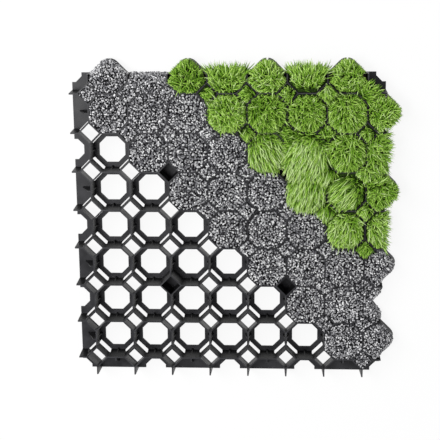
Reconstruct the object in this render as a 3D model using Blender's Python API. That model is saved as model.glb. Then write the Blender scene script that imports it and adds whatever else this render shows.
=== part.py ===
"""Grass grid paver: a moulded tile of octagon and diamond cells, part filled with gravel and part with turf.

The tile is a block from which the cells are cut, as the two halves of its mould would leave them: the
octagon cells from above, the foot of the diamond cells from below. All sizes are in metres.
"""
import math

import bmesh
import bpy
from mathutils import Matrix, Vector

# Tile
PITCH = 0.075                # middle of one octagon cell to the middle of the next
CELLS = 8                    # pitches along each side
HEIGHT = 0.044
EDGE_SETBACK = 0.0015        # each side stands this far inside the laying module
FLANGE = 0.003               # thickness of the floor round the foot of a cell
WALL_FOOT = 0.006            # wall between two octagon cells, at the floor
WALL_TOP = 0.0026            # the same wall at its top edge
HOLE_HALF = 0.025            # half width of the drain hole in a full cell
HOLE_DIAGONAL = 0.0255       # the same across the hole's cut corners
NOTCH_HALF = 0.020           # half width of the drain notch in a cell at the edge
DIAMOND_TOP = 0.0131         # half width of a diamond cell at its mouth
DIAMOND_FLARE = 0.0009       # how much wider it is where it meets the windows
WINDOW_HALF = 0.0181         # half width of the foot of a diamond cell
WINDOW_TOP = 0.020           # height of the windows through the diagonal walls
WINDOW_BITE = 0.0006         # how far the foot of a diamond cell cuts into the octagon cells
SOCKET_FLOOR = 0.003         # floor of the closed square sockets
SOCKET_TAPER = 0.0008        # how much narrower a socket is at its floor
SOCKET_STEP = 3              # cells from one socket to the next
SOCKET_FIRST = 2             # the diamond row that holds the first socket

# Fins on the plates of the two plain sides
FIN_FOOT = 0.020
FIN_TOP = 0.0054
FIN_THICKNESS = 0.0026

# Joining lobes of the other two sides, which stand over a laid neighbour's plates
LOBE_REACH = 0.0255          # from the laying module's line to the lobe's tip, at its foot
LOBE_SHOULDER = 0.034        # where the lobe's 45 degree side meets the module's line
LOBE_LEAN = 0.003            # how far the lobe's wall leans in at its top
LOBE_WALL = 0.0026
LOBE_TOP = 0.016
PLATE_CLEARANCE = 0.0005     # between a lobe and the plate that it stands over
LOBE_SEAT = 0.001            # extra thickness of the floor that carries a lobe
FIN_CLEARANCE = 0.0006       # each side of a neighbour's fin in the lobe's slit
LOBE_ARC_STEPS = 6

# Infill
INFILL_GAP = 0.0003          # between infill and tile
GRAVEL_CROWN = 0.003         # how far the gravel's middle stands over the walls
TURF_CROWN = 0.014
GRAVEL_BAND = (0, 2)         # cells right of the diagonal that hold gravel, first and last
CROWN_SHARE = 0.55           # width of the crown's top against the cell
EDGE_SLOPE = 0.012           # how far infill in an open half cell falls back at its top
LOBE_SLOPE = 0.006           # the same over a lobe's wall
STUB_SHARE = 0.8             # infill in a lobe starts at most this far along the stub wall to its corner

OVERCUT = 0.001              # how far a cutter runs past the face that it cuts
CLOSED_LEDGE = 0.0005        # step in a diamond cell under a diagonal wall that has no window

HALF = CELLS * PITCH / 2
CENTRE = -(LOBE_REACH + EDGE_SETBACK) / 2
DIAGONAL = PITCH / math.sqrt(2)

PLASTIC_COLOUR = (0.045, 0.045, 0.050, 1.0)
PLASTIC_ROUGHNESS = 0.45
GRAVEL_COLOUR = (0.180, 0.180, 0.190, 1.0)
TURF_COLOUR = (0.130, 0.260, 0.040, 1.0)
INFILL_ROUGHNESS = 0.9


def cell_middle(column, row):
    """Middle of an octagon cell; columns run along +X and rows along -Y, both from 0 to CELLS."""
    return Vector((CENTRE - HALF + column * PITCH, CENTRE + HALF - row * PITCH, 0.0))


def diamond_middle(column, row):
    """Middle of a diamond cell; there is one at each crossing of four octagon cells."""
    return cell_middle(column + 0.5, row + 0.5)


def is_edge(column, row):
    return column in (0, CELLS) or row in (0, CELLS)


def is_corner(column, row):
    return column in (0, CELLS) and row in (0, CELLS)


def has_lobe(column, row):
    """Odd cells along the two sides that carry the lobes."""
    on_right = column == CELLS and row % 2 == 1
    on_top = row == 0 and column % 2 == 1
    return on_right or on_top


def has_plate(column, row):
    """Odd cells along every side have a solid floor."""
    return is_edge(column, row) and (column + row) % 2 == 1


def has_windows(cell):
    """The diagonal walls towards the tile's four corner cells are closed."""
    return not is_corner(*cell)


def is_socket(column, row):
    places = (SOCKET_FIRST, SOCKET_FIRST + SOCKET_STEP)
    return column in places and row in places


def octagon(straight, diagonal):
    """Octagon by the distance from its middle to its straight sides and to its diagonal sides."""
    corner = diagonal * math.sqrt(2) - straight
    points = []
    for quarter in range(4):
        turn = Matrix.Rotation(quarter * math.pi / 2, 2)
        points.append(turn @ Vector((straight, corner)))
        points.append(turn @ Vector((corner, straight)))
    return points


def diamond(half):
    """Square that stands on a corner, by the distance from its middle to its sides."""
    reach = half * math.sqrt(2)
    return [Vector((reach, 0)), Vector((0, reach)), Vector((-reach, 0)), Vector((0, -reach))]


def cell_outline(height, gap=0.0):
    """Section of an octagon cell at a height: the walls are thicker towards the floor."""
    share = (height - FLANGE) / (HEIGHT - FLANGE)
    straight_foot = (PITCH - WALL_FOOT) / 2
    straight_top = (PITCH - WALL_TOP) / 2
    diagonal_foot = DIAGONAL - WINDOW_HALF + WINDOW_BITE
    diagonal_top = DIAGONAL - DIAMOND_TOP - WALL_TOP
    straight = straight_foot + share * (straight_top - straight_foot)
    diagonal = diagonal_foot + share * (diagonal_top - diagonal_foot)
    return octagon(straight - gap, diagonal - gap)


def diamond_outline(height, gap=0.0):
    """Section of a diamond cell above its windows, a little wider towards them."""
    share = (HEIGHT - height) / (HEIGHT - WINDOW_TOP)
    return diamond(DIAMOND_TOP + share * DIAMOND_FLARE - gap)


def lobe_outline(inset):
    """Half outline of a lobe, out along +X: a 45 degree side, an arc round the tip and the other side.

    The arc touches both sides and the tip; inset moves the whole outline in by that distance.
    """
    radius = (LOBE_SHOULDER - LOBE_REACH) / (math.sqrt(2) - 1) - inset
    middle = LOBE_REACH - radius - inset
    stub = PITCH / 2
    shoulder = LOBE_SHOULDER - inset * math.sqrt(2)
    points = [Vector((shoulder - stub, stub))]
    for step in range(LOBE_ARC_STEPS + 1):
        angle = math.pi / 4 - step * math.pi / 2 / LOBE_ARC_STEPS
        points.append(Vector((middle + radius * math.cos(angle), radius * math.sin(angle))))
    points.append(Vector((shoulder - stub, -stub)))
    return points


def loft(bm, sections, place):
    """Closed body through like-numbered outlines, given as (height, points), lowest first."""
    rings = []
    for height, points in sections:
        rings.append([bm.verts.new(place @ Vector((x, y, height))) for x, y in points])
    count = len(rings[0])
    for low, high in zip(rings, rings[1:]):
        for index in range(count):
            after = (index + 1) % count
            bm.faces.new((low[index], low[after], high[after], high[index]))
    bm.faces.new(list(reversed(rings[0])))
    bm.faces.new(rings[-1])


def wall_loop(bm, rows, place):
    """Closed wall along a path: rows are its edges in order round the wall's section."""
    lines = []
    for height, points in rows:
        lines.append([bm.verts.new(place @ Vector((x, y, height))) for x, y in points])
    for row, line in enumerate(lines):
        other = lines[(row + 1) % len(lines)]
        for index in range(len(line) - 1):
            bm.faces.new((line[index], line[index + 1], other[index + 1], other[index]))
    bm.faces.new([line[0] for line in lines])
    bm.faces.new([line[-1] for line in reversed(lines)])


def box(bm, low, high, place):
    size = Matrix.Diagonal(Vector(high) - Vector(low)).to_4x4()
    middle = Matrix.Translation((Vector(high) + Vector(low)) / 2)
    bmesh.ops.create_cube(bm, size=1.0, matrix=place @ middle @ size)


def new_object(name, bm, collection):
    """Object from a bmesh, with its faces turned outwards."""
    bmesh.ops.recalc_face_normals(bm, faces=bm.faces)
    mesh = bpy.data.meshes.new(name)
    bm.to_mesh(mesh)
    bm.free()
    obj = bpy.data.objects.new(name, mesh)
    collection.objects.link(obj)
    return obj


def new_cutter(name, bm, collection):
    obj = new_object(name, bm, collection)
    obj.hide_render = True
    obj.display_type = "WIRE"
    return obj


def combine(target, operation, tool):
    modifier = target.modifiers.new(tool.name, "BOOLEAN")
    modifier.operation = operation
    modifier.solver = "EXACT"
    modifier.object = tool


def finish(name, colour, roughness):
    """Plain finish of one material."""
    material = bpy.data.materials.new(name)
    material.use_nodes = True
    shader = material.node_tree.nodes["Principled BSDF"]
    shader.inputs["Base Color"].default_value = colour
    shader.inputs["Roughness"].default_value = roughness
    shader.inputs["Metallic"].default_value = 0.0
    return material


def all_cells():
    return [(column, row) for column in range(CELLS + 1) for row in range(CELLS + 1)]


def all_diamonds():
    return [(column, row) for column in range(CELLS) for row in range(CELLS)]


def cell_floor(column, row):
    """Top of a cell's floor, which is thicker where it carries a lobe."""
    return FLANGE + (LOBE_SEAT if has_lobe(column, row) else 0.0)


def side_turn(column, row):
    """Turn that carries +X to the outward direction of the side that a cell lies on."""
    if column == CELLS:
        return Matrix.Identity(4)
    if column == 0:
        return Matrix.Rotation(math.pi, 4, "Z")
    return Matrix.Rotation(math.pi / 2 if row == 0 else -math.pi / 2, 4, "Z")


def octagon_pockets(collection):
    """The octagon cells, as the upper half of the mould leaves them."""
    bm = bmesh.new()
    top = HEIGHT + OVERCUT
    for column, row in all_cells():
        floor = cell_floor(column, row)
        sections = [(floor, cell_outline(floor)), (top, cell_outline(top))]
        loft(bm, sections, Matrix.Translation(cell_middle(column, row)))
    return new_cutter("octagon_pockets", bm, collection)


def drain_holes(collection):
    """Octagon holes in the floors; cells along the edge have a smaller notch or none."""
    bm = bmesh.new()
    notch = octagon(NOTCH_HALF, NOTCH_HALF)
    hole = octagon(HOLE_HALF, HOLE_DIAGONAL)
    for column, row in all_cells():
        if has_plate(column, row):
            continue
        points = notch if is_edge(column, row) else hole
        sections = [(-OVERCUT, points), (FLANGE + OVERCUT, points)]
        loft(bm, sections, Matrix.Translation(cell_middle(column, row)))
    return new_cutter("drain_holes", bm, collection)


def diamond_foot(bm, column, row, low, high, opens, gap=0.0):
    """Foot of a diamond cell, as wide as its windows towards each octagon cell that it opens to."""
    closed = DIAMOND_TOP + DIAMOND_FLARE + CLOSED_LEDGE
    around = ((column + 1, row), (column, row), (column, row + 1), (column + 1, row + 1))
    reach = [(WINDOW_HALF if opens(cell) else closed) - gap for cell in around]
    place = Matrix.Translation(diamond_middle(column, row)) @ Matrix.Rotation(math.pi / 4, 4, "Z")
    box(bm, (-reach[2], -reach[3], low), (reach[0], reach[1], high), place)


def diamond_feet(collection):
    """Lower part of the diamond cells, from below; it opens the windows into the octagon cells."""
    bm = bmesh.new()
    for column, row in all_diamonds():
        if not is_socket(column, row):
            diamond_foot(bm, column, row, -OVERCUT, WINDOW_TOP, has_windows)
    return new_cutter("diamond_feet", bm, collection)


def diamond_mouths(collection):
    """Upper part of the diamond cells, and the closed sockets that stand in place of some."""
    bm = bmesh.new()
    top = HEIGHT + OVERCUT
    for column, row in all_diamonds():
        low = WINDOW_TOP - OVERCUT
        sections = [(low, diamond_outline(low)), (top, diamond_outline(top))]
        if is_socket(column, row):
            sections = [(SOCKET_FLOOR, diamond(DIAMOND_TOP - SOCKET_TAPER)), (top, diamond(DIAMOND_TOP))]
        loft(bm, sections, Matrix.Translation(diamond_middle(column, row)))
    return new_cutter("diamond_mouths", bm, collection)


def fins(collection):
    """Upright fins on the plates of the two plain sides, each from the middle of the wall behind it."""
    bm = bmesh.new()
    root = -PITCH / 2
    for column, row in all_cells():
        if not has_plate(column, row) or has_lobe(column, row):
            continue
        foot_end = root + WALL_FOOT / 2 + FIN_FOOT
        top_end = root + WALL_TOP / 2 + FIN_TOP
        profile = [
            (root, FLANGE / 2),
            (foot_end, FLANGE / 2),
            (foot_end, FLANGE),
            (top_end, HEIGHT),
            (root, HEIGHT),
        ]
        place = Matrix.Translation(cell_middle(column, row)) @ side_turn(column, row)
        upright = place @ Matrix.Rotation(math.pi / 2, 4, "X")
        half = FIN_THICKNESS / 2
        loft(bm, [(-half, profile), (half, profile)], upright)
    return new_cutter("fins", bm, collection)


def lobes(collection):
    """Joining lobes: low curved walls that stand out over a laid neighbour's plates."""
    bm = bmesh.new()
    foot = FLANGE + PLATE_CLEARANCE
    rows = [
        (foot, lobe_outline(0.0)),
        (LOBE_TOP, lobe_outline(LOBE_LEAN)),
        (LOBE_TOP, lobe_outline(LOBE_LEAN + LOBE_WALL)),
        (foot, lobe_outline(LOBE_WALL)),
    ]
    for column, row in all_cells():
        if has_lobe(column, row):
            place = Matrix.Translation(cell_middle(column, row)) @ side_turn(column, row)
            wall_loop(bm, rows, place)
    return new_cutter("lobes", bm, collection)


def lobe_slits(collection):
    """Slit in the tip of each lobe, which a laid neighbour's fin enters."""
    bm = bmesh.new()
    half = FIN_THICKNESS / 2 + FIN_CLEARANCE
    inner = LOBE_REACH - 2 * (LOBE_WALL + LOBE_LEAN)
    for column, row in all_cells():
        if has_lobe(column, row):
            place = Matrix.Translation(cell_middle(column, row)) @ side_turn(column, row)
            box(bm, (inner, -half, 0.0), (LOBE_REACH + OVERCUT, half, LOBE_TOP + OVERCUT), place)
    return new_cutter("lobe_slits", bm, collection)


def grid_tile(parts, tools):
    """The moulded tile."""
    bm = bmesh.new()
    side = HALF - EDGE_SETBACK
    place = Matrix.Translation((CENTRE, CENTRE, 0.0))
    box(bm, (-side, -side, 0.0), (side, side, HEIGHT), place)
    tile = new_object("grid_tile", bm, parts)
    combine(tile, "DIFFERENCE", octagon_pockets(tools))
    combine(tile, "DIFFERENCE", drain_holes(tools))
    combine(tile, "DIFFERENCE", diamond_feet(tools))
    combine(tile, "DIFFERENCE", diamond_mouths(tools))
    combine(tile, "UNION", fins(tools))
    combine(tile, "UNION", lobes(tools))
    combine(tile, "DIFFERENCE", lobe_slits(tools))
    tile.data.materials.append(finish("moulded_black_plastic", PLASTIC_COLOUR, PLASTIC_ROUGHNESS))


def crown_outline(rim):
    """Top of a crown: its rim drawn in towards the rim's middle."""
    middle = sum(rim, Vector((0.0, 0.0))) / len(rim)
    return [middle + (point - middle) * CROWN_SHARE for point in rim]


def full_plug(bm, column, row, crown):
    """Infill of a full octagon cell, from just over its floor to a low crown."""
    foot = FLANGE + INFILL_GAP
    rim = cell_outline(HEIGHT, INFILL_GAP)
    sections = [
        (foot, cell_outline(foot, INFILL_GAP)),
        (HEIGHT, rim),
        (HEIGHT + crown, crown_outline(rim)),
    ]
    loft(bm, sections, Matrix.Translation(cell_middle(column, row)))


def half_outline(height, edge):
    """Inner half of an octagon cell at the tile's side, closed by a straight edge at x = edge."""
    points = [point for point in cell_outline(height, INFILL_GAP) if point.x < 0.0]
    width = max(point.y for point in points)
    return points + [Vector((edge, -width)), Vector((edge, width))]


def half_plug(bm, column, row, crown):
    """Infill of an open half cell at the tile's side, with a sloping outer face."""
    foot = FLANGE + INFILL_GAP
    rim = half_outline(HEIGHT, -EDGE_SLOPE)
    sections = [
        (foot, half_outline(foot, -EDGE_SETBACK)),
        (HEIGHT, rim),
        (HEIGHT + crown, crown_outline(rim)),
    ]
    loft(bm, sections, Matrix.Translation(cell_middle(column, row)) @ side_turn(column, row))


def lobe_cell_outline(height, inset):
    """Inner half of an octagon cell, closed by the inside of its lobe.

    The lobe's side starts on the stub wall, no further in than just before the cell's own corner.
    """
    points = [point for point in cell_outline(height, INFILL_GAP) if point.x < 0.0]
    width = max(point.y for point in points)
    corner = max(point.x for point in points)
    shoulder = max(LOBE_SHOULDER - inset * math.sqrt(2) - width, corner * STUB_SHARE)
    curve = list(reversed(lobe_outline(inset)[1:-1]))
    return points + [Vector((shoulder, -width))] + curve + [Vector((shoulder, width))]


def lobe_plug(bm, column, row, crown):
    """Infill of a half cell with a lobe: full height over the tile, falling to the lobe's wall."""
    foot = cell_floor(column, row) + INFILL_GAP
    clear = LOBE_WALL + INFILL_GAP
    rim = lobe_cell_outline(HEIGHT, clear + LOBE_LEAN + LOBE_SLOPE)
    lean = LOBE_LEAN * (foot - FLANGE - PLATE_CLEARANCE) / (LOBE_TOP - FLANGE - PLATE_CLEARANCE)
    sections = [
        (foot, lobe_cell_outline(foot, clear + lean)),
        (LOBE_TOP, lobe_cell_outline(LOBE_TOP, clear + LOBE_LEAN)),
        (HEIGHT, rim),
        (HEIGHT + crown, crown_outline(rim)),
    ]
    loft(bm, sections, Matrix.Translation(cell_middle(column, row)) @ side_turn(column, row))


def infill(name, crown, holds, parts, tools, material):
    """One body of infill: plugs in the cells, joined to each other through the tile's windows."""
    bm = bmesh.new()
    cells = filled_cells(holds)
    for column, row in cells:
        if has_lobe(column, row):
            lobe_plug(bm, column, row, crown)
        elif is_edge(column, row):
            half_plug(bm, column, row, crown)
        else:
            full_plug(bm, column, row, crown)
    body = new_object(name, bm, parts)
    feet = bmesh.new()
    mouths = bmesh.new()
    foot_top = WINDOW_TOP - INFILL_GAP
    for column, row in filled_diamonds(holds):
        diamond_foot(feet, column, row, INFILL_GAP, foot_top, cells.__contains__, INFILL_GAP)
        low = WINDOW_TOP - OVERCUT
        rim = diamond_outline(HEIGHT, INFILL_GAP)
        sections = [
            (low, diamond_outline(low, INFILL_GAP)),
            (HEIGHT, rim),
            (HEIGHT + crown, crown_outline(rim)),
        ]
        loft(mouths, sections, Matrix.Translation(diamond_middle(column, row)))
    combine(body, "UNION", new_cutter(name + "_feet", feet, tools))
    combine(body, "UNION", new_cutter(name + "_mouths", mouths, tools))
    body.data.materials.append(material)


def gravel_end(column):
    """Last cell of the gravel, counted from the diagonal; the band is one wider at the lobed side."""
    return GRAVEL_BAND[1] + (1 if column == CELLS else 0)


def in_gravel(column, row):
    return GRAVEL_BAND[0] <= column - row <= gravel_end(column)


def in_turf(column, row):
    return column - row > gravel_end(column)


def filled_cells(holds):
    """Cells of one infill; the plain sides and the corners stay empty."""
    found = []
    for column, row in all_cells():
        plain_side = column == 0 or row == CELLS
        if holds(column, row) and not plain_side and not is_corner(column, row):
            found.append((column, row))
    return found


def filled_diamonds(holds):
    return [place for place in all_diamonds() if holds(*place) and not is_socket(*place)]


def main():
    for obj in list(bpy.data.objects):
        bpy.data.objects.remove(obj, do_unlink=True)
    parts = bpy.data.collections.new("grass_grid_paver")
    tools = bpy.data.collections.new("cutters")
    bpy.context.scene.collection.children.link(parts)
    bpy.context.scene.collection.children.link(tools)
    grid_tile(parts, tools)
    gravel = finish("gravel", GRAVEL_COLOUR, INFILL_ROUGHNESS)
    turf = finish("turf", TURF_COLOUR, INFILL_ROUGHNESS)
    infill("gravel_infill", GRAVEL_CROWN, in_gravel, parts, tools, gravel)
    infill("turf_infill", TURF_CROWN, in_turf, parts, tools, turf)


main()
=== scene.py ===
"""Dresses the grass grid paver: moulded plastic, and the gravel and grass that fill part of its cells.

Sizes are in metres, in the part's own frame: +Z up, the joining lobes towards +X and +Y. Columns of
octagon cells run along +X and rows along -Y, both from 0 to CELLS; a diamond cell stands at each crossing.
"""

import itertools
import math

import bpy
import numpy as np
from mathutils import Euler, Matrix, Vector


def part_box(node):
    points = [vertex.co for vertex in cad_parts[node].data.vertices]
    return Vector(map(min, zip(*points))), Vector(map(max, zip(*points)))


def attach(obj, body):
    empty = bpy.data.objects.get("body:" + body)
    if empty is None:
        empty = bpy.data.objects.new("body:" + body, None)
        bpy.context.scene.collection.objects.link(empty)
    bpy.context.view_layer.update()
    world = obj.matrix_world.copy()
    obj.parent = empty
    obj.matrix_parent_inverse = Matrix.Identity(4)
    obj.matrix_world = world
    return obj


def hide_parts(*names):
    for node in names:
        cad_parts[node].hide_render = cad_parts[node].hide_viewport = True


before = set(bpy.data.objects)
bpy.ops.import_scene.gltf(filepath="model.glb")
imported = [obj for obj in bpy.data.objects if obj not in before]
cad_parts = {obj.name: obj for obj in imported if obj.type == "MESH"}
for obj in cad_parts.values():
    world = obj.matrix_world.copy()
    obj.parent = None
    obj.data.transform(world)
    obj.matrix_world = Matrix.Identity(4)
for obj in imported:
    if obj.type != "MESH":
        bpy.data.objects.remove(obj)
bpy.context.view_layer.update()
tile_low, tile_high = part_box("grid_tile")

# Tile
PITCH = 0.075
CELLS = 8
EDGE_SETBACK = 0.0015        # from the middles of the edge cells in to the tile's side
WALL_HEIGHT = tile_high.z
FLANGE = 0.003
WALL_FOOT = 0.006
WALL_TOP = 0.0026
WINDOW_TOP = 0.020
WINDOW_HALF = 0.0181
DIAMOND_HALF = 0.0131
DIAGONAL = PITCH / math.sqrt(2)
LOBE_REACH = 0.0255
LOBE_SHOULDER = 0.034
LOBE_TOP = 0.016
LOBE_POINTS = 7              # along the round tip of a lobe
# Diamond cells that are closed at the foot and stay empty
SOCKETS = [(column, row) for column in (2, 5) for row in (2, 5)]

# Ribs at the middle of the straight walls
RIB_PROUD = 0.0032           # how far a rib's foot stands out from the wall
RIB_TOP = 0.027
RIB_THICKNESS = 0.0024

# Infill
GAP = 0.0004                 # between infill and plastic
HALF_FOOT = FLANGE + 3 * GAP  # foot of the infill in a half cell
GRAVEL_LAST = 2              # the gravel fills cells from the diagonal to this many right of it
STEPS_ROUND = 4              # points along each side of an infill outline
STEPS_OPEN = 12              # the same where the cell is open to the side
MOUND_SHARES = np.array([1.0, 0.985, 0.92, 0.79, 0.60, 0.38, 0.14])
EDGE_FALL = 0.014            # infill falls away over this width where its cell is open to the side
FALL_LINE = (-EDGE_FALL, -EDGE_SETBACK)
OPEN_RIM = 0.004             # height of its rim there
# From a lobe's foot line in to its infill: inside its wall, heaped over it, and where a heap leaves it bare
LOBE_INSIDE = 0.0065
LOBE_OUTSIDE = 0.0003
LOBE_DRAWN_BACK = {(8, 5): 0.0050, (8, 7): 0.0035}
# Gravel that has run out through the drain notch of one edge cell: the bite's depth at its foot, and its lean
BITTEN = (8, 6)
BITE_DEPTH = 0.0205
BITE_LEAN = 0.3
GRAVEL_RIM = 0.0434
GRAVEL_CROWN = 0.0014
TURF_RIM = 0.0400
TURF_CROWN = 0.0075
DRAWS = 8                    # random points for each square of a scatter's spacing
PIECE_TRIANGLES = 190000     # most in one piece of stones or blades

# Stones
STONE_SPACING = (0.0037, 0.0032)     # upper layer, lower layer
STONE_DEPTH = (0.0000, 0.0026)       # how far each layer lies under the bed's own surface level
STONE_PAINTED_SHADE = (1.0, 0.05)             # painted shade: share of the stones' tone left in each layer, the lower layer dark as if in the shade of the upper
STONE_LIFT = 0.0014                  # most that a stone stands over its layer
STONE_ROOM = 0.0008                  # least from a stone's middle to the wall beside it
STONE_SIZE = (0.0030, 0.0042, 0.0056)
STONE_PUSH = (0.74, 1.10)            # how far out its corners are pushed, against its radius
STONE_STRETCH = ((1.0, 1.25), (0.8, 1.0), (0.6, 0.85))
STONE_TONE = (2.3, 2.3)              # of a beta distribution

# Grass blades
UP = np.array([0.0, 0.0, 1.0])
BLADE_SPACING = 0.0024
BLADE_SHARES = np.array([0.0, 0.35, 0.70, 1.0])
BLADE_WIDTH = (0.0016, 0.0038)       # of the darkest and the palest blades
WIDTH_FACTOR = (0.8, 1.2)
KEEL = 0.35                          # depth of a blade's keel against half its width
TWIST = (-0.8, 0.8)                  # in radians, as all angles here
SHORT_LENGTH = (0.013, 0.030)
LONG_LENGTH = (0.034, 0.056)
STRAY_LENGTH = (0.026, 0.040)
STRAY_SHARE = 0.015                  # single long blades among the short ones
STRAY_HANG = 0.010                   # how far they may pass their tuft's walls
HIGHEST = 0.0665                     # no blade's tip stands over this height
SHORTEST_SHARE = 0.30                # least of a blade's length that is left where a wall stops it
SIDE_ZONE = 0.012                    # blades that start this near to the tile's side lean out over it
PARALLEL = 1e-9                      # gain under which a blade runs along a side and never meets it
# The first of each pair is for the long or far-leaning blades, the second for all others
START = ((0.50, 0.95), (0.20, 0.75))         # range of the angle from upright at the root
BEND = ((0.40, 0.80), (0.30, 0.95))          # range of what the angle gains up to the tip
BLADE_TONE = ((1.5, 0.8), (1.7, 2.05))       # of beta distributions
FANNED = (0.1, 0.9)                  # what a blade's place in its tuft adds to its direction
CHANCE = (0.22, 0.50)                # what chance adds to it
LONG_PALER = 0.15
LONG_TUFT = 0.05                     # the short blades are darker in a tuft with more long ones than this
SHORT_DARKER = 0.12

# Tufts
COMB = 0.75                          # how strongly a tuft is combed, in a random direction
TUFT_TONE = (-0.13, 0.13)
VIGOUR = (0.8, 1.15)                 # factor on the length of its short blades
# How far the tips of a tuft pass its walls or stay short of them, by the kind of cell, and what each blade adds
TUFT_HANG = {"full": (-0.0050, 0.0015), "diamond": (-0.0032, 0.0010),
             "open": (-0.0060, 0.0), "lobed": (-0.0040, 0.0010)}
BLADE_HANG = (-0.0015, 0.0020)
# The same at the tile's lobed sides, which no full or diamond cell reaches
OUTER_HANG = {"full": (0.0, 0.0), "diamond": (0.0, 0.0), "open": (0.004, 0.030), "lobed": (-0.001, 0.011)}
RIGHT_SHORTER = 0.0115               # how much less the blades of open cells hang out on the right side
# Tufts that differ, by column and row: combing in x and y, share of long pale blades, and overhang
OWN_HABITS = {
    (3, 0): (-0.15, 0.50, 0.00, -0.0020),
    (4, 0): (0.00, 0.55, 0.00, -0.0020),
    (5, 0): (-0.25, 0.50, 0.00, -0.0010),
    (6, 0): (0.05, 0.90, 0.03, -0.0060),
    (7, 0): (-0.20, 0.45, 0.00, -0.0040),
    (5.5, 0.5): (0.00, 0.10, 0.00, -0.0020),
    (7.5, 0.5): (0.60, 0.60, 0.00, 0.0170),
    (4, 1): (0.00, 0.10, 0.00, -0.0020),
    (5, 1): (0.25, -0.45, 0.00, -0.0010),
    (6, 1): (0.10, -0.30, 0.00, -0.0030),
    (7, 1): (0.00, -0.45, 0.00, -0.0010),
    (8, 1): (0.50, 0.20, 0.00, -0.0020),
    (5.5, 1.5): (0.00, 0.10, 0.00, -0.0010),
    (5, 2): (0.40, -1.00, 0.13, 0.0000),
    (6, 2): (-0.38, -1.00, 0.30, 0.0280),
    (7, 2): (-0.10, -0.50, 0.01, -0.0020),
    (8, 2): (0.45, -0.40, 0.01, 0.0050),
    (6.5, 2.5): (-0.70, -1.00, 0.30, 0.0140),
    (7.5, 2.5): (-0.30, -0.60, 0.02, 0.0040),
    (6, 3): (-0.28, -1.00, 0.32, 0.0020),
    (7, 3): (-0.85, -0.80, 0.27, -0.0045),
    (8, 3): (0.45, -0.20, 0.02, 0.0000),
    (6.5, 3.5): (-0.25, -1.00, 0.20, 0.0030),
    (7, 4): (-0.20, -0.60, 0.04, -0.0035),
    (8, 4): (0.15, -0.50, 0.02, -0.0030),
    (7.5, 4.5): (0.00, -0.40, 0.00, -0.0010),
}

# Heights between which the soil turns from brown to mossy green
MOSS_HEIGHTS = (0.030, 0.042)

# Stage
FLOOR_SIZE = 12.0
FLOOR_HEIGHT = -0.0003
FLOOR_GLOW = 0.88            # share of its own white that the camera sees in the floor
WORLD_LIGHT = 0.45           # share of full light that comes from all round
# Name, place, width and share of full light of each lamp
LAMPS = [("key", (-1.4, 0.9, 1.8), 1.3, 0.52), ("sheen", (-0.75, 0.10, 2.3), 0.7, 0.36),
         ("fill", (1.4, -0.6, 1.9), 1.8, 0.12)]

# Camera, fitted to the corners of the cells
CAMERA_PLACE = Vector((0.0884, 0.5136, 2.1334))
CAMERA_TURN = Euler((-0.23841, 0.05381, -0.00876), "XYZ")
FOCAL_PIXELS = 1121.6
FRAME_PIXELS = 440
SENSOR = 36.0

RNG = np.random.default_rng(20)


def cell_middle(cells):
    """Middles of cells given as rows of (column, row), on the floor plane."""
    cells = np.asarray(cells, float)
    first = tile_low.x - EDGE_SETBACK
    x = first + cells[:, 0] * PITCH
    y = first + (CELLS - cells[:, 1]) * PITCH
    return np.stack([x, y, np.zeros(len(cells))], axis=1)


def is_corner(column, row):
    return column in (0, CELLS) and row in (0, CELLS)


def side_of(column, row):
    """Number of quarter turns from +X to the way out of an edge cell, or None in a full cell."""
    if column == CELLS:
        return 0
    if row == 0:
        return 1
    return None


def has_lobe(column, row):
    return side_of(column, row) is not None and (column + row) % 2 == 1


def gravel_last(column):
    """Last gravel cell of a column, counted from the diagonal: one more along the lobed side."""
    return GRAVEL_LAST + (1 if column == CELLS else 0)


def in_gravel(column, row):
    return 0 <= column - row <= gravel_last(column)


def in_turf(column, row):
    return column - row > gravel_last(column)


def filled_cells(holds):
    every = itertools.product(range(1, CELLS + 1), range(CELLS))
    return [cell for cell in every if holds(*cell) and not is_corner(*cell)]


def filled_diamonds(holds):
    every = itertools.product(range(CELLS), range(CELLS))
    return [cell for cell in every if holds(*cell) and cell not in SOCKETS]


def octagon_corners(straight, diagonal):
    """Corners of an octagon, anticlockwise, by the distance to its straight and to its diagonal sides."""
    cut = diagonal * math.sqrt(2) - straight
    quarter = np.array([[straight, -cut], [straight, cut]])
    turns = [quarter @ np.array([[math.cos(a), math.sin(a)], [-math.sin(a), math.cos(a)]])
             for a in np.arange(4) * math.pi / 2]
    return np.concatenate(turns)


def cell_corners(height, inset):
    """Octagon cell at a height; its walls grow thinner from the floor to the top."""
    share = (height - FLANGE) / (WALL_HEIGHT - FLANGE)
    straight = (PITCH - WALL_FOOT - share * (WALL_TOP - WALL_FOOT)) / 2
    low = DIAGONAL - WINDOW_HALF
    high = DIAGONAL - DIAMOND_HALF - WALL_TOP
    return octagon_corners(straight - inset, low + share * (high - low) - inset)


def round_points(corners, steps):
    """Points along closed outlines: each side, from corner to corner, is cut into equal steps."""
    ahead = np.roll(corners, -1, axis=-2)
    share = (np.arange(steps) / steps)[:, None]
    points = corners[..., :, None, :] + (ahead - corners)[..., :, None, :] * share
    return points.reshape(*corners.shape[:-2], -1, 2)


def at_height(points, height):
    """Plan points lifted to a height, which may be one number or one for each point."""
    z = np.broadcast_to(height, points.shape[:-1])[..., None]
    return np.concatenate([points, z], axis=-1)


def mound(rim, crown_height):
    """Rows of points from a rim up to a crown.

    Each row is the rim drawn towards its middle by a share s. Its height is the crown's, less the rim's
    depth under the crown times s to the fourth power, so the mound is flat on top and falls off at its edge.
    """
    shares = MOUND_SHARES[:, None, None]
    middle = rim.mean(axis=-2, keepdims=True)
    plan = middle[..., None, :, :2] + (rim - middle)[..., None, :, :2] * shares
    height = crown_height - (crown_height - rim[..., None, :, 2:]) * shares ** 4
    return np.concatenate([plan, height], axis=-1)


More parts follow.
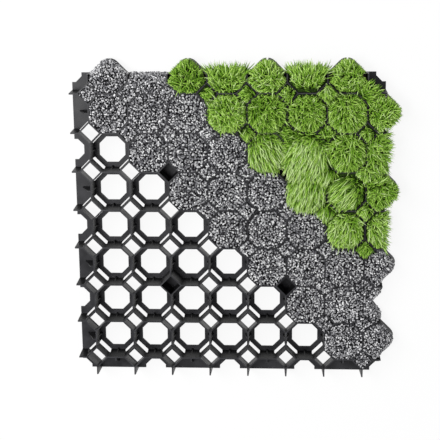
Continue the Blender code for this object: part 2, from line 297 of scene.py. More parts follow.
def full_plug(rim_height, crown):
    """Infill of one full octagon cell, as rows of points from its foot to its crown."""
    foot = at_height(round_points(cell_corners(FLANGE, GAP), STEPS_ROUND), FLANGE + GAP)
    rim = at_height(round_points(cell_corners(rim_height, GAP), STEPS_ROUND), rim_height)
    return np.concatenate([foot[None], mound(rim, rim_height + crown)])


def half_corners(height, lobed, inset=LOBE_INSIDE):
    """Inner half of an octagon cell that lies across the tile's side, with +X the way out.

    It is closed by a straight edge, or by a line inside a lobe: 45 degree sides and an arc that joins them.
    """
    corners = cell_corners(height, GAP)
    inner = corners[corners[:, 0] < 0]
    inner = inner[np.argsort(np.arctan2(inner[:, 1], -inner[:, 0]))[::-1]]
    width = np.abs(inner[:, 1]).max()
    if not lobed:
        outer = np.array([[-EDGE_SETBACK, -width], [-EDGE_SETBACK, width]])
        return np.concatenate([inner, outer])
    radius = (LOBE_SHOULDER - LOBE_REACH) / (math.sqrt(2) - 1) - inset
    middle = LOBE_REACH - inset - radius
    angle = np.linspace(-math.pi / 4, math.pi / 4, LOBE_POINTS)
    arc = np.stack([middle + radius * np.cos(angle), radius * np.sin(angle)], axis=1)
    shoulder = LOBE_SHOULDER - inset * math.sqrt(2) - width
    ends = np.array([[shoulder, -width], [shoulder, width]])
    return np.concatenate([inner, ends[:1], arc, ends[1:]])


def half_plug(rim_height, crown, lobed, inset):
    """Infill of a half cell at the side: its rim falls from the inner walls to the open side or the lobe.

    In a lobe the inset is that of the heap's edge, which may stand over the lobe's own wall.
    """
    steps = STEPS_ROUND if lobed else STEPS_OPEN
    rows = [at_height(round_points(half_corners(FLANGE, lobed), steps), HALF_FOOT)]
    outer_height = OPEN_RIM
    plan = round_points(half_corners(rim_height, lobed), steps)
    if lobed:
        outer_height = LOBE_TOP + GAP
        inside = np.interp(plan[:, 0], FALL_LINE, [rim_height - GAP, outer_height])
        rows.append(at_height(plan, inside))
        plan = round_points(half_corners(rim_height, lobed, inset), steps)
        outer_height += GAP
    height = np.interp(plan[:, 0], FALL_LINE, [rim_height, outer_height])
    return np.concatenate([np.stack(rows), mound(at_height(plan, height), rim_height + crown)])


def bitten(rows):
    """A half cell's rows with a V-shaped bite, 45 degrees to each side, out of the side that +X points to."""
    x, y, z = np.moveaxis(rows, -1, 0)
    most = np.abs(y) - BITE_DEPTH - BITE_LEAN * z
    return np.stack([np.minimum(x, most), y, z], axis=-1)


def diamond_corners(half):
    """Corners of squares that stand on a corner; half holds the distance to each of the four sides."""
    half = np.asarray(half, float)
    right, up, left, down = half[..., 0], half[..., 1], half[..., 2], half[..., 3]
    along = np.stack([right, right, -left, -left], axis=-1)
    across = np.stack([-down, up, up, -down], axis=-1)
    return np.stack([along - across, along + across], axis=-1) / math.sqrt(2)


def diamond_plugs(diamonds, cells, rim_height, crown):
    """Infill of diamond cells: a wide foot in the windows towards filled cells, and a narrow upper part."""
    around = ((1, 0), (0, 0), (0, 1), (1, 1))
    narrow = DIAMOND_HALF + GAP
    opens = [[(c + x, r + y) in cells for x, y in around] for c, r in diamonds]
    wide = np.where(opens, WINDOW_HALF - GAP, narrow)
    narrow_ring = round_points(diamond_corners(np.full(4, narrow)), STEPS_ROUND)
    rim_ring = round_points(diamond_corners(np.full(4, DIAMOND_HALF - GAP)), STEPS_ROUND)
    shape = (len(diamonds), *narrow_ring.shape)
    wide_ring = round_points(diamond_corners(wide), STEPS_ROUND)
    rim = at_height(np.broadcast_to(rim_ring, shape), rim_height)
    rows = [at_height(wide_ring, GAP), at_height(wide_ring, WINDOW_TOP - GAP),
            at_height(np.broadcast_to(narrow_ring, shape), WINDOW_TOP - GAP)]
    return np.concatenate([np.stack(rows, axis=1), mound(rim, rim_height + crown)], axis=1)


def closed_bodies(rings):
    """Points and triangles of closed bodies, from rings of shape (bodies, rows, around, 3), foot to crown.

    Each four-sided face between two rows is split in two, and a fan about the mean point closes each end.
    """
    bodies, rows, around, _ = rings.shape
    column = np.arange(around)
    after = (column + 1) % around
    row = np.arange(rows - 1)[:, None] * around
    a, b = row + column, row + after
    sides = np.stack([a, b, b + around, a, b + around, a + around], axis=-1).reshape(-1, 3)
    foot_pole, crown_pole = rows * around, rows * around + 1
    last = (rows - 1) * around
    foot = np.stack([np.full(around, foot_pole), after, column], axis=-1)
    crown = np.stack([np.full(around, crown_pole), last + column, last + after], axis=-1)
    triangles = np.concatenate([sides, foot, crown])
    poles = np.stack([rings[:, 0].mean(axis=1), rings[:, -1].mean(axis=1)], axis=1)
    points = np.concatenate([rings.reshape(bodies, -1, 3), poles], axis=1)
    starts = (np.arange(bodies) * points.shape[1])[:, None, None]
    return points.reshape(-1, 3), (starts + triangles).reshape(-1, 3)


def join(bodies):
    """One set of points and triangles out of several."""
    starts = np.cumsum([0] + [len(points) for points, _ in bodies[:-1]])
    triangles = [faces + start for start, (_, faces) in zip(starts, bodies)]
    return np.concatenate([points for points, _ in bodies]), np.concatenate(triangles)


def turned(rows, quarters):
    """Rows of points turned about +Z by quarter turns."""
    angle = quarters * math.pi / 2
    cosine, sine = math.cos(angle), math.sin(angle)
    return rows @ np.array([[cosine, sine, 0], [-sine, cosine, 0], [0, 0, 1]])


def infill_rings(holds, rim_height, crown, heaped):
    """Rings of every plug of one infill, by the kind of cell that it fills."""
    cells = filled_cells(holds)
    diamonds = filled_diamonds(holds)
    full = [cell for cell in cells if side_of(*cell) is None]
    groups = {"full": full_plug(rim_height, crown) + cell_middle(full)[:, None, None]}
    for kind, lobed in (("open", False), ("lobed", True)):
        placed = []
        for cell in cells:
            if side_of(*cell) is None or has_lobe(*cell) != lobed:
                continue
            inset = LOBE_DRAWN_BACK.get(cell, LOBE_OUTSIDE) if heaped else LOBE_INSIDE
            plug = half_plug(rim_height, crown, lobed, inset)
            plug = bitten(plug) if cell == BITTEN else plug
            placed.append(turned(plug, side_of(*cell)) + cell_middle([cell]))
        groups[kind] = np.stack(placed)
    middles = cell_middle(np.array(diamonds) + 0.5)
    groups["diamond"] = diamond_plugs(diamonds, cells, rim_height, crown) + middles[:, None, None]
    return groups


def mound_triangles(rings):
    """A group's mounds, from their second row in, as corner points of shape (bodies, triangles, 3, 3)."""
    top = rings[:, 1 - len(MOUND_SHARES):]
    points, triangles = closed_bodies(top)
    foot_pole = top.shape[1] * top.shape[2]
    on_foot = (triangles % (foot_pole + 2) == foot_pole).any(axis=1)
    return points[triangles[~on_foot]].reshape(len(rings), -1, 3, 3)


def scatter(triangles, spacing):
    """Points spread evenly over triangles, with the normal under each and the number of its triangle.

    Points are drawn at random by area, DRAWS for each square of the spacing, and the first to fall in each
    cube of that spacing is kept.
    """
    edge_a = triangles[:, 1] - triangles[:, 0]
    edge_b = triangles[:, 2] - triangles[:, 0]
    cross = np.cross(edge_a, edge_b)
    area = np.linalg.norm(cross, axis=1) / 2
    count = int(DRAWS * area.sum() / spacing ** 2)
    chosen = RNG.choice(len(triangles), count, p=area / area.sum())
    u, v = RNG.random((2, count, 1))
    over = u + v > 1
    u, v = np.where(over, 1 - u, u), np.where(over, 1 - v, v)
    points = triangles[chosen, 0] + u * edge_a[chosen] + v * edge_b[chosen]
    cubes = np.floor(points / spacing).astype(int)
    _, first = np.unique(cubes, axis=0, return_index=True)
    first.sort()
    chosen = chosen[first]
    return points[first], cross[chosen] / (2 * area[chosen, None]), chosen


def icosahedron():
    """Corners and outward triangles of an icosahedron of radius one.

    The corners are the cyclic turns of (0, +-1, +-golden ratio). A face is three corners that all lie 2 apart.
    """
    golden = (1 + math.sqrt(5)) / 2
    signs = itertools.product((-1, 1), (-golden, golden))
    corners = np.array([np.roll((0, short, long), turn) for short, long in signs for turn in range(3)])
    near = np.isclose(np.linalg.norm(corners[:, None] - corners, axis=2), 2)
    faces = []
    for a, b, c in itertools.combinations(range(len(corners)), 3):
        if near[a, b] and near[b, c] and near[a, c]:
            outward = np.dot(np.cross(corners[a], corners[b]), corners[c]) > 0
            faces.append((a, b, c) if outward else (a, c, b))
    return corners / np.linalg.norm(corners[0]), np.array(faces)


def random_turns(count):
    """Rotation matrices from random unit quaternions."""
    quaternions = RNG.normal(size=(4, count))
    w, x, y, z = quaternions / np.linalg.norm(quaternions, axis=0)
    rows = [[1 - 2 * (y * y + z * z), 2 * (x * y - w * z), 2 * (x * z + w * y)],
            [2 * (x * y + w * z), 1 - 2 * (x * x + z * z), 2 * (y * z - w * x)],
            [2 * (x * z - w * y), 2 * (y * z + w * x), 1 - 2 * (x * x + y * y)]]
    return np.moveaxis(np.array(rows), 2, 0)


def stones(middles):
    """Crushed stones: icosahedra with their corners pushed in or out, flattened and turned at random."""
    corners, faces = icosahedron()
    count = len(middles)
    push = RNG.uniform(*STONE_PUSH, (count, len(corners), 1))
    size = RNG.triangular(*STONE_SIZE, (count, 1, 1)) / 2
    stretch = np.concatenate([RNG.uniform(low, high, (count, 1, 1)) for low, high in STONE_STRETCH], axis=2)
    shaped = corners * push * stretch * size
    return np.einsum("nij,nkj->nki", random_turns(count), shaped) + middles[:, None], faces


def new_piece(name, points, triangles, material, smooth=False, attributes=()):
    """A mesh piece from arrays, riding on the tile's body. Attributes are (name, one number a point)."""
    mesh = bpy.data.meshes.new(name)
    mesh.vertices.add(len(points))
    mesh.vertices.foreach_set("co", np.asarray(points, np.float32).ravel())
    mesh.loops.add(triangles.size)
    mesh.loops.foreach_set("vertex_index", np.asarray(triangles, np.int32).ravel())
    mesh.polygons.add(len(triangles))
    mesh.polygons.foreach_set("loop_start", np.arange(0, triangles.size, 3, dtype=np.int32))
    mesh.update(calc_edges=True)
    for attribute, values in attributes:
        layer = mesh.attributes.new(attribute, "FLOAT", "POINT")
        layer.data.foreach_set("value", np.asarray(values, np.float32))
    if smooth:
        mesh.shade_smooth()
    else:
        mesh.shade_flat()
    mesh.materials.append(material)
    piece = bpy.data.objects.new(name, mesh)
    bpy.context.scene.collection.objects.link(piece)
    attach(piece, "root")
    return piece


def many_bodies(name, corners, faces, material, node, attributes, smooth=False):
    """Pieces that hold many small bodies of one make, in place of a node.

    Corners have the shape (bodies, corners, 3), faces are those of one body, and each attribute comes as its
    name and one number a corner.
    """
    each = PIECE_TRIANGLES // len(faces)
    for index, first in enumerate(range(0, len(corners), each)):
        own = corners[first:first + each]
        triangles = faces + (np.arange(len(own)) * own.shape[1])[:, None, None]
        values = [(attribute, value[first:first + each].ravel()) for attribute, value in attributes]
        piece = new_piece(f"{name}_{index + 1}", own.reshape(-1, 3), triangles.reshape(-1, 3), material,
                          smooth, values)
        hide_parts(node)


def linear(code):
    """Linear colour from an sRGB hex code."""
    srgb = np.array([int(code[i:i + 2], 16) for i in (1, 3, 5)]) / 255
    low, high = srgb / 12.92, ((srgb + 0.055) / 1.055) ** 2.4
    return (*np.where(srgb <= 0.04045, low, high), 1.0)


def connect(tree, node, sockets):
    """Sets or links a node's sockets, given as (name or number, value or output)."""
    for name, value in sockets:
        if isinstance(value, bpy.types.NodeSocket):
            tree.links.new(value, node.inputs[name])
        else:
            node.inputs[name].default_value = value


def add(tree, kind, sockets=(), stops=(), **settings):
    """Adds a node with its settings, its sockets as for connect, and any colour stops, the two ends first."""
    node = tree.nodes.new(kind)
    for name, value in settings.items():
        setattr(node, name, value)
    connect(tree, node, sockets)
    for index, (place, code) in enumerate(stops):
        elements = node.color_ramp.elements
        element = elements[index] if index < 2 else elements.new(place)
        element.position = place
        element.color = linear(code)
    return node


def new_material(name):
    """A material with only its Principled shader and output."""
    material = bpy.data.materials.new(name)
    material.use_nodes = True
    return material, material.node_tree, material.node_tree.nodes["Principled BSDF"]


def moulded_polypropylene():
    """Black recycled polypropylene, injection moulded: satin, with an orange-peel skin; the faces that look up
    are painted lighter.
    """
    material, tree, shader = new_material("moulded_polypropylene")
    place = add(tree, "ShaderNodeTexCoord").outputs["Object"]
    # Flow marks of the melt, some 30 mm long
    flow = add(tree, "ShaderNodeTexNoise", [("Vector", place), ("Scale", 35.0), ("Detail", 3.0)])
    # The skin's grain is about 0.3 mm; it is drawn at 1.5 mm, so that it shows
    grain = add(tree, "ShaderNodeTexNoise", [("Vector", place), ("Scale", 650.0), ("Detail", 2.0)])
    # Dust lies on the faces that look up, thicker in patches
    # Painted light and shade: faces that look up are painted lighter, more so in patches, and upright walls
    # near black
    facing = add(tree, "ShaderNodeNewGeometry").outputs["Normal"]
    upward = add(tree, "ShaderNodeSeparateXYZ", [("Vector", facing)]).outputs["Z"]
    level = add(tree, "ShaderNodeMapRange", [("Value", upward), ("From Min", 0.3), ("From Max", 0.9)])
    painted_top_light = add(tree, "ShaderNodeMath", [(0, flow.outputs["Fac"]), (1, level.outputs["Result"])],
                operation="MULTIPLY")
    colour = add(tree, "ShaderNodeValToRGB", [("Fac", painted_top_light.outputs["Value"])],
                 [(0.0, "#080809"), (0.70, "#363639"), (0.35, "#1d1d20")])
    gloss = add(tree, "ShaderNodeMapRange", [("Value", flow.outputs["Fac"]), ("From Min", 0.3),
                                             ("From Max", 0.7), ("To Min", 0.32), ("To Max", 0.46)])
    bump = add(tree, "ShaderNodeBump", [("Height", grain.outputs["Fac"]), ("Strength", 0.25),
                                        ("Distance", 0.0002)])
    connect(tree, shader, [("Base Color", colour.outputs["Color"]), ("Roughness", gloss.outputs["Result"]),
                           ("Specular IOR Level", 0.18), ("Normal", bump.outputs["Normal"])])
    return material


def crushed_stone():
    """Crushed basalt and granite: dull broken faces in greys from near black to near white, by the stone."""
    material, tree, shader = new_material("crushed_stone")
    place = add(tree, "ShaderNodeTexCoord").outputs["Object"]
    tone = add(tree, "ShaderNodeAttribute", attribute_name="tone").outputs["Fac"]
    # Mineral grains of about 1 mm
    grains = add(tree, "ShaderNodeTexNoise", [("Vector", place), ("Scale", 900.0), ("Detail", 2.0)])
    mixed = add(tree, "ShaderNodeMath", [(0, grains.outputs["Fac"]), (1, 0.30), (2, tone)],
                operation="MULTIPLY_ADD")
    colour = add(tree, "ShaderNodeValToRGB", [("Fac", mixed.outputs["Value"])],
                 [(0.12, "#131315"), (1.0, "#e8e8e9"), (0.42, "#68686c"), (0.75, "#aeaeb0")])
    bump = add(tree, "ShaderNodeBump", [("Height", grains.outputs["Fac"]), ("Strength", 0.5),
                                        ("Distance", 0.0003)])
    connect(tree, shader, [("Base Color", colour.outputs["Color"]), ("Roughness", 0.85),
                           ("Specular IOR Level", 0.15), ("Normal", bump.outputs["Normal"])])
    return material


def shaded_gravel_bed():
    """The gravel's own mass under and between the loose stones: packed chips, painted near black as the shade
    under the stones, and darker still at their edges as painted shade in the gaps.
    """
    material, tree, shader = new_material("shaded_gravel_bed")
    place = add(tree, "ShaderNodeTexCoord").outputs["Object"]
    # One chip for every 3.5 mm
    pattern = [("Vector", place), ("Scale", 285.0)]
    chips = add(tree, "ShaderNodeTexVoronoi", pattern)
    gaps = add(tree, "ShaderNodeTexVoronoi", pattern, feature="DISTANCE_TO_EDGE")
    tone = add(tree, "ShaderNodeSeparateColor", [("Color", chips.outputs["Color"])])
    # Painted shade: chips darker towards their edges, as in the gaps between them
    shade = add(tree, "ShaderNodeMapRange", [("Value", gaps.outputs["Distance"]), ("From Max", 0.10)])
    mixed = add(tree, "ShaderNodeMath", [(0, tone.outputs["Red"]), (1, shade.outputs["Result"])],
                operation="MULTIPLY")
    # Painted shade: the whole bed is near black, as in the shade under the loose stones
    colour = add(tree, "ShaderNodeValToRGB", [("Fac", mixed.outputs["Value"])],
                 [(0.0, "#060607"), (1.0, "#3c3c3f"), (0.4, "#151517")])
    bump = add(tree, "ShaderNodeBump", [("Height", shade.outputs["Result"]), ("Strength", 0.9),
                                        ("Distance", 0.0015)])
    connect(tree, shader, [("Base Color", colour.outputs["Color"]), ("Roughness", 0.9),
                           ("Specular IOR Level", 0.1), ("Normal", bump.outputs["Normal"])])
    return material


def soil_and_thatch():
    """Root-bound soil under the grass: brown crumbs of 2 to 4 mm, and mossy green near the top."""
    material, tree, shader = new_material("soil_and_thatch")
    place = add(tree, "ShaderNodeTexCoord").outputs["Object"]
    crumbs = add(tree, "ShaderNodeTexNoise", [("Vector", place), ("Scale", 320.0), ("Detail", 4.0)])
    height = add(tree, "ShaderNodeSeparateXYZ", [("Vector", place)]).outputs["Z"]
    brown = add(tree, "ShaderNodeValToRGB", [("Fac", crumbs.outputs["Fac"])],
                [(0.35, "#1d160e"), (0.70, "#5a4630"), (0.55, "#38291a")])
    moss = add(tree, "ShaderNodeValToRGB", [("Fac", crumbs.outputs["Fac"])],
               [(0.35, "#1a290d"), (0.70, "#3a541d")])
    low, high = MOSS_HEIGHTS
    grown = add(tree, "ShaderNodeMapRange", [("Value", height), ("From Min", low), ("From Max", high)])
    mixed = add(tree, "ShaderNodeMix", [(0, grown.outputs["Result"]), (6, brown.outputs["Color"]),
                                        (7, moss.outputs["Color"])], data_type="RGBA")
    bump = add(tree, "ShaderNodeBump", [("Height", crumbs.outputs["Fac"]), ("Strength", 0.8),
                                        ("Distance", 0.0015)])
    connect(tree, shader, [("Base Color", mixed.outputs[2]), ("Roughness", 0.95),
                           ("Specular IOR Level", 0.1), ("Normal", bump.outputs["Normal"])])
    return material


def grass_blades():
    """Living grass: waxy blades, each with its own green, and painted shade that darkens each blade towards its
    root.
    """
    material, tree, shader = new_material("grass_blades")
    tone = add(tree, "ShaderNodeAttribute", attribute_name="tone").outputs["Fac"]
    run = add(tree, "ShaderNodeAttribute", attribute_name="run").outputs["Fac"]
    own = add(tree, "ShaderNodeValToRGB", [("Fac", tone)],
              [(0.0, "#456e16"), (1.0, "#e6feb5"), (0.35, "#97cc3a"), (0.70, "#cdf476")])
    # Painted shade: each blade darker towards its root, deep in its tuft
    shade = add(tree, "ShaderNodeValToRGB", [("Fac", run)],
                [(0.0, "#3c4a28"), (1.0, "#ffffff"), (0.45, "#bcc8a6")])
    mixed = add(tree, "ShaderNodeMix", [(0, 1.0), (6, own.outputs["Color"]), (7, shade.outputs["Color"])],
                data_type="RGBA", blend_type="MULTIPLY")
    connect(tree, shader, [("Base Color", mixed.outputs[2]), ("Roughness", 0.55),
                           ("Specular IOR Level", 0.3)])
    return material


def wall_ribs(material):
    """Small ribs, one across the middle of each straight wall, where two octagon cells meet.

    Each is a plate cut to a trapezium: wide at the floor, and at the rib's top as thin as the wall.
    """
    low = WALL_FOOT / 2 + RIB_PROUD
    share = (RIB_TOP - FLANGE) / (WALL_HEIGHT - FLANGE)
    high = (WALL_FOOT + share * (WALL_TOP - WALL_FOOT)) / 2
    half = RIB_THICKNESS / 2
    rows = [at_height(np.array([[-x, -half], [x, -half], [x, half], [-x, half]]), z)
            for x, z in ((low, FLANGE - GAP), (low, FLANGE + GAP), (high, RIB_TOP))]
    plate = np.stack(rows)
    inner = range(1, CELLS)
    across = cell_middle([(c + 0.5, r) for c in range(CELLS) for r in inner])
    along = cell_middle([(c, r + 0.5) for c in inner for r in range(CELLS)])
    rings = np.concatenate([plate + across[:, None, None], turned(plate, 1) + along[:, None, None]])
    points, triangles = closed_bodies(rings)
    return new_piece("wall_ribs", points, triangles, material)


def gravel(stone, shade_painted_bed):
    """The gravel: a packed bed in each cell, painted dark as shade, and layers of loose crushed stones over it,
    the lower layer painted dark as shade.
    """
    groups = infill_rings(in_gravel, GRAVEL_RIM, GRAVEL_CROWN, heaped=True)
    points, triangles = join([closed_bodies(rings) for rings in groups.values()])
    bed = new_piece("gravel_bed", points, triangles, shade_painted_bed)
    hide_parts("gravel_infill")
    middles, tones = [], []
    for kind, rings in groups.items():
        tops = mound_triangles(rings)
        rims = rings[:, -len(MOUND_SHARES), :, :2]
        for spacing, depth, painted_shade in zip(STONE_SPACING, STONE_DEPTH, STONE_PAINTED_SHADE):
            places, normals, chosen = scatter(tops.reshape(-1, 3, 3), spacing)
            room, nearest = nearest_rim(places, rims[chosen // tops.shape[1]])
            kept = past_side(nearest).any(axis=1) | (room > STONE_ROOM) | (kind == "open")
            raised = RNG.uniform(0.0, STONE_LIFT, (kept.sum(), 1)) - depth
            middles.append(places[kept] + normals[kept] * raised)
            # Painted shade: stones of the lower layer keep only a small share of their tone, as if shaded by
            # the upper ones
            tones.append(RNG.beta(*STONE_TONE, kept.sum()) * painted_shade)
    corners, faces = stones(np.concatenate(middles))
    tone = np.repeat(np.concatenate(tones)[:, None], corners.shape[1], axis=1)
    many_bodies("gravel_stones", corners, faces, stone, "gravel_infill", [("tone", tone)])


def blades(roots, lean, length, width, start, bend, twist):
    """Grass blades as closed, three-sided, tapering bodies that end in a point.

    A blade's middle line lies in the upright plane through its lean, on an arc: its angle from upright is
    start at the root and start + bend at the tip. At a share t of its length it has gone out by
    length (cos start - cos(start + t bend)) / bend, and up by length (sin(start + t bend) - sin start) / bend.
    Its section is a flat triangle, twisted about the middle line: two edges, and a keel underneath.
    Returns corners of shape (blades, corners, 3), the faces of one blade, and each corner's share t.
    """
    t = BLADE_SHARES[:, None]
    angle = start + t * bend
    out = length * (np.cos(start) - np.cos(angle)) / bend
    up = length * (np.sin(angle) - np.sin(start)) / bend
    middle = out[..., None] * lean + up[..., None] * UP + roots
    along = np.sin(angle)[..., None] * lean + np.cos(angle)[..., None] * UP
    level = np.cross(UP, lean)
    across = np.cos(twist)[:, None] * level + np.sin(twist)[:, None] * np.cross(along, level)
    under = np.cross(along, across)
    half = (width / 2 * (1 - t ** 2))[..., None]
    rings = np.stack([middle + across * half, middle + under * half * KEEL, middle - across * half], axis=2)
    rings = np.moveaxis(rings[:-1], 0, 1).reshape(len(roots), -1, 3)
    corners = np.concatenate([rings, middle[-1][:, None]], axis=1)
    side = np.arange(3)
    after = (side + 1) % 3
    last = len(BLADE_SHARES) - 2
    row = np.arange(last)[:, None] * 3
    a, b = row + side, row + after
    walls = np.stack([a, b + 3, b, a, a + 3, b + 3], axis=-1).reshape(-1, 3)
    point = np.stack([last * 3 + side, np.full(3, last * 3 + 3), last * 3 + after], axis=-1)
    faces = np.concatenate([walls, point, [[0, 1, 2]]])
    return corners, faces, np.append(np.repeat(BLADE_SHARES[:-1], 3), 1.0)


def room_ahead(roots, lean, rims):
    """How far each root can go along its lean until it meets the rim round it, and where that is.

    A rim is a convex outline, anticlockwise. Past a side with outward normal n through a point q, a root p
    with lean d comes after the distance n.(q - p) / n.d, and the nearest such side stops it.
    """
    side = np.roll(rims, -1, axis=1) - rims
    outward = np.stack([side[..., 1], -side[..., 0]], axis=-1)
    gain = np.einsum("nsi,ni->ns", outward, lean[:, :2])
    left = np.einsum("nsi,nsi->ns", outward, rims - roots[:, None, :2])
    ahead = gain > PARALLEL
    distance = np.where(ahead, left / np.where(ahead, gain, 1.0), np.inf).min(axis=1)
    return distance, roots + distance[:, None] * lean


def nearest_rim(roots, rims):
    """Distance from each root to the nearest side of the convex rim round it, and the nearest point there."""
    side = np.roll(rims, -1, axis=1) - rims
    outward = np.stack([side[..., 1], -side[..., 0]], axis=-1) / np.linalg.norm(side, axis=2, keepdims=True)
    left = np.einsum("nsi,nsi->ns", outward, rims - roots[:, None, :2])
    nearest = left.argmin(axis=1)
    each = np.arange(len(roots))
    room = left[each, nearest]
    return room, roots[:, :2] + outward[each, nearest] * room[:, None]


def tuft_habits(kind, middles):
    """Habit of each tuft, one row each: combing in x and y, share of long blades, overhang, tone and vigour."""
    count = len(middles)
    angle = RNG.uniform(0, 2 * math.pi, count)
    habits = np.stack([COMB * np.cos(angle), COMB * np.sin(angle), np.zeros(count),
                       RNG.uniform(*TUFT_HANG[kind], count), RNG.uniform(*TUFT_TONE, count),
                       RNG.uniform(*VIGOUR, count)], axis=1)
    apart = np.linalg.norm(middles[:, None] - cell_middle(list(OWN_HABITS))[:, :2], axis=2)
    own = apart.min(axis=1) < PITCH / 4
    habits[own, :4] = np.array(list(OWN_HABITS.values()))[apart.argmin(axis=1)[own]]
    return habits


def past_side(points):
    """Whether plan points lie at or past the tile's lobed sides, a column each for +X and +Y."""
    high_side = cell_middle([(CELLS, 0)])[0, :2] - EDGE_SETBACK
    return points > high_side - GAP


def plant(kind, rings):
    """Roots in one kind of cell, and the rim, the middle and the habit of each root's tuft.

    A tuft that stays short of its walls has no roots next to them.
    """
    tops = mound_triangles(rings)
    roots, _, chosen = scatter(tops.reshape(-1, 3, 3), BLADE_SPACING)
    rims = rings[:, -len(MOUND_SHARES), :, :2]
    middles = rims.mean(axis=1)
    tuft = chosen // tops.shape[1]
    habits = tuft_habits(kind, middles)
    room, nearest = nearest_rim(roots, rims[tuft])
    rooted = past_side(nearest).any(axis=1) | (room > -habits[tuft, 3])
    roots, tuft = roots[rooted], tuft[rooted]
    return roots, rims[tuft], middles[tuft], habits[tuft]


def drawn(chosen, draw, pair):
    """A random value each, from the first of a pair of ranges where chosen, and from the second elsewhere."""
    first, second = [draw(*numbers, len(chosen)) for numbers in pair]
    return np.where(chosen, first, second)


def grow(kind, rings):
    """Grass of one kind of cell: corners, faces, and the tone and run of each corner."""
    roots, rims, middles, habits = plant(kind, rings)
    count = len(roots)
    comb_x, comb_y, long_share, hang, tuft_tone, vigour = habits.T
    long = RNG.random(count) < long_share
    stray = ~long & (RNG.random(count) < STRAY_SHARE)
    spread = (roots[:, :2] - middles) / (PITCH / 2)
    way = np.stack([comb_x, comb_y], axis=1) + np.where(long, *FANNED)[:, None] * spread
    way += RNG.normal(0.0, 1.0, (count, 2)) * np.where(long, *CHANCE)[:, None]
    lean = at_height(way / np.linalg.norm(way, axis=1, keepdims=True), 0.0)
    # How far each blade may go out
    distance, stop = room_ahead(roots, lean, rims)
    sides = past_side(stop[:, :2])
    outside = sides.any(axis=1)
    reach = hang + RNG.uniform(*BLADE_HANG, count)
    outer = RNG.uniform(*OUTER_HANG[kind], count)
    if kind == "open":
        outer -= RIGHT_SHORTER * sides[:, 0]
    reach = distance + np.where(stray, STRAY_HANG, np.where(outside, outer, reach))
    # Its length, cut where it would go out or up too far
    leaning = long | stray | (outside & (distance < SIDE_ZONE))
    length = np.where(leaning, RNG.uniform(*STRAY_LENGTH, count), vigour * RNG.uniform(*SHORT_LENGTH, count))
    length = np.where(long, RNG.uniform(*LONG_LENGTH, count), length)
    start = drawn(leaning, RNG.uniform, START)
    bend = drawn(leaning, RNG.uniform, BEND)
    out = length * (np.cos(start) - np.cos(start + bend)) / bend
    up = length * (np.sin(start + bend) - np.sin(start)) / bend
    share = np.minimum(np.maximum(reach / out, SHORTEST_SHARE), (HIGHEST - roots[:, 2]) / up)
    length = length * np.minimum(share, 1.0)
    # Its tone, and the width that goes with it
    own = drawn(long | stray, RNG.beta, BLADE_TONE)
    own += np.where(long, LONG_PALER, np.where(long_share > LONG_TUFT, -SHORT_DARKER, 0.0))
    tone = np.clip(own + tuft_tone, 0.0, 1.0)
    width = np.interp(tone, [0, 1], BLADE_WIDTH) * RNG.uniform(*WIDTH_FACTOR, count)
    twist = RNG.uniform(*TWIST, count)
    corners, faces, run = blades(roots, lean, length, width, start, bend, twist)
    tone = np.repeat(tone[:, None], len(run), axis=1)
    return corners, faces, tone, np.broadcast_to(run, tone.shape)


def turf(soil, grass):
    """The turf: root-bound soil in each cell, and the blades that grow from it."""
    groups = infill_rings(in_turf, TURF_RIM, TURF_CROWN, heaped=False)
    points, triangles = join([closed_bodies(rings) for rings in groups.values()])
    bed = new_piece("turf_soil", points, triangles, soil, smooth=True)
    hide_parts("turf_infill")
    grown = [grow(kind, rings) for kind, rings in groups.items()]
    corners, tone, run = (np.concatenate([part[index] for part in grown]) for index in (0, 2, 3))
    many_bodies("grass", corners, grown[0][1], grass, "turf_infill",
                [("tone", tone), ("run", run)], smooth=True)


def plain_floor():
    """White floor. The camera sees it nearly white, with the object's shadow; other rays see plain white."""
    half = FLOOR_SIZE / 2
    corners = [(x, y, FLOOR_HEIGHT) for x, y in ((-half, -half), (half, -half), (half, half), (-half, half))]
    mesh = bpy.data.meshes.new("floor")
    mesh.from_pydata(corners, [], [(0, 1, 2, 3)])
    floor = bpy.data.objects.new("floor", mesh)
    bpy.context.scene.collection.objects.link(floor)
    material, tree, shader = new_material("white_floor")
    connect(tree, shader, [("Base Color", linear("#f4f4f4")), ("Roughness", 0.9), ("Specular IOR Level", 0.0)])
    lit = shader.outputs["BSDF"]
    glow = add(tree, "ShaderNodeEmission", [("Color", linear("#ffffff")), ("Strength", 1.0)])
    shaded = add(tree, "ShaderNodeMixShader", [("Fac", FLOOR_GLOW), (1, lit), (2, glow.outputs["Emission"])])
    mixed = add(tree, "ShaderNodeMixShader", [("Fac", seen_ray(tree)), (1, lit), (2, shaded.outputs["Shader"])])
    connect(tree, tree.nodes["Material Output"], [("Surface", mixed.outputs["Shader"])])
    mesh.materials.append(material)


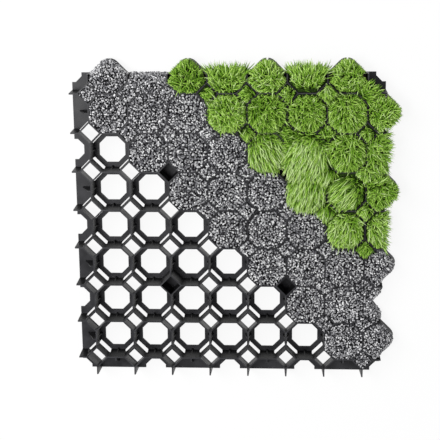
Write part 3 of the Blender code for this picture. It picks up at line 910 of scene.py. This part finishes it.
def seen_ray(tree):
    """1 for rays from the camera, through glass or by a reflection, and 0 for those that carry light."""
    path = add(tree, "ShaderNodeLightPath")
    seen = path.outputs["Is Camera Ray"]
    for kind in ("Is Glossy Ray", "Is Transmission Ray"):
        either = add(tree, "ShaderNodeMath", [(0, seen), (1, path.outputs[kind])], operation="MAXIMUM")
        seen = either.outputs["Value"]
    return seen


def studio():
    """Even white surroundings, with soft lamps to the upper left, overhead for the sheen, and weak opposite."""
    world = bpy.data.worlds.new("studio")
    world.use_nodes = True
    bpy.context.scene.world = world
    tree = world.node_tree
    tree.nodes.clear()
    strength = add(tree, "ShaderNodeMapRange", [("Value", seen_ray(tree)), ("To Min", WORLD_LIGHT),
                                                ("To Max", 1.0)])
    back = add(tree, "ShaderNodeBackground", [("Color", linear("#ffffff")),
                                              ("Strength", strength.outputs["Result"])])
    add(tree, "ShaderNodeOutputWorld", [("Surface", back.outputs["Background"])])
    for name, place, size, share in LAMPS:
        lamp = bpy.data.lights.new(name, "AREA")
        lamp.shape = "DISK"
        lamp.size = size
        place = Vector(place)
        # A lamp of pi squared watts for each square metre of its distance lights a white surface fully
        lamp.energy = share * (math.pi * place.length) ** 2
        obj = bpy.data.objects.new(name, lamp)
        obj.location = place
        obj.rotation_euler = place.to_track_quat("Z", "Y").to_euler()
        bpy.context.scene.collection.objects.link(obj)


def camera():
    """The photograph's view: from above, 14 degrees off the upright."""
    data = bpy.data.cameras.new("camera")
    data.lens = SENSOR * FOCAL_PIXELS / FRAME_PIXELS
    data.sensor_width = SENSOR
    obj = bpy.data.objects.new("camera", data)
    obj.location = CAMERA_PLACE
    obj.rotation_euler = CAMERA_TURN
    bpy.context.scene.collection.objects.link(obj)
    bpy.context.scene.camera = obj


def main():
    camera()
    studio()
    plain_floor()
    plastic = moulded_polypropylene()
    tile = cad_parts["grid_tile"]
    tile.data.materials.clear()
    tile.data.materials.append(plastic)
    wall_ribs(plastic)
    gravel(crushed_stone(), shaded_gravel_bed())
    turf(soil_and_thatch(), grass_blades())
    bpy.context.scene.view_settings.view_transform = "Standard"


main()
